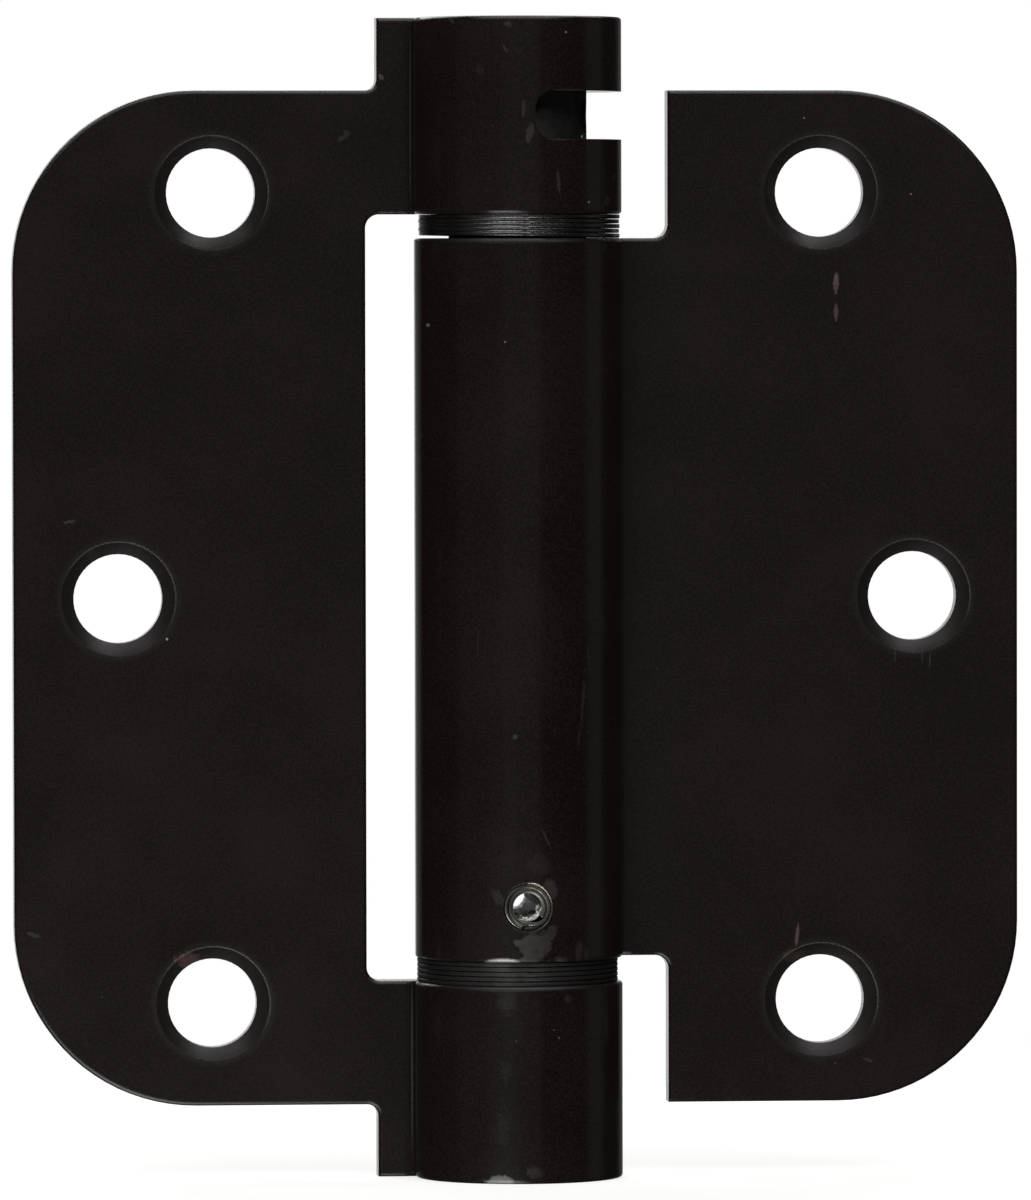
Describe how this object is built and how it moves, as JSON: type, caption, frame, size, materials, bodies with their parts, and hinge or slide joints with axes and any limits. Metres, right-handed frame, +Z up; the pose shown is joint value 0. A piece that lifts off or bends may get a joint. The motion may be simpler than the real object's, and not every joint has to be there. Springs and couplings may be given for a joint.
{
  "type": "spring loaded door hinge",
  "caption": "Full mortise self closing door hinge with rounded corners, a spring barrel, a tension slot and countersunk screw holes, opened flat.",
  "frame": {"origin": "on the barrel's axis, at its mid height", "axes": "+Z up along the barrel, +X towards the door leaf, -Y towards the side with the countersinks"},
  "size_m": [0.0884, 0.0182, 0.1016],
  "materials": {
    "leaf_paint": "dark bronze satin paint",
    "spool_steel": "blackened steel",
    "spindle_steel": "turned",
    "pin_steel": "rolled spring steel",
    "spring_steel": "oiled music wire",
    "washer_steel": "hardened, oiled"
  },
  "bodies": {
    "frame_side": {"frame_leaf": "leaf_paint", "lower_washer_1": "washer_steel", "lower_washer_2": "washer_steel", "lower_washer_3": "washer_steel", "lower_washer_4": "washer_steel", "lower_washer_5": "washer_steel"},
    "door_side": {"door_leaf": "leaf_paint", "pivot_plug": "spindle_steel", "hollow_pin": "pin_steel", "torsion_spring": "spring_steel", "upper_washer_1": "washer_steel", "upper_washer_2": "washer_steel", "upper_washer_3": "washer_steel", "upper_washer_4": "washer_steel", "upper_washer_5": "washer_steel"},
    "spool": {"adjusting_spool": "spool_steel"}
  },
  "joints": [
    {"name": "leaf_swing", "type": "hinge", "parent": "frame_side", "child": "door_side", "pos_m": [0, 0, 0], "axis": [0, 0, -1], "range_deg": [0, 180], "deforming": ["torsion_spring"]},
    {"name": "spool_turn", "type": "hinge", "parent": "frame_side", "child": "spool", "pos_m": [0, 0, 0.0422], "axis": [0, 0, 1], "range_deg": [0, 360]}
  ]
}
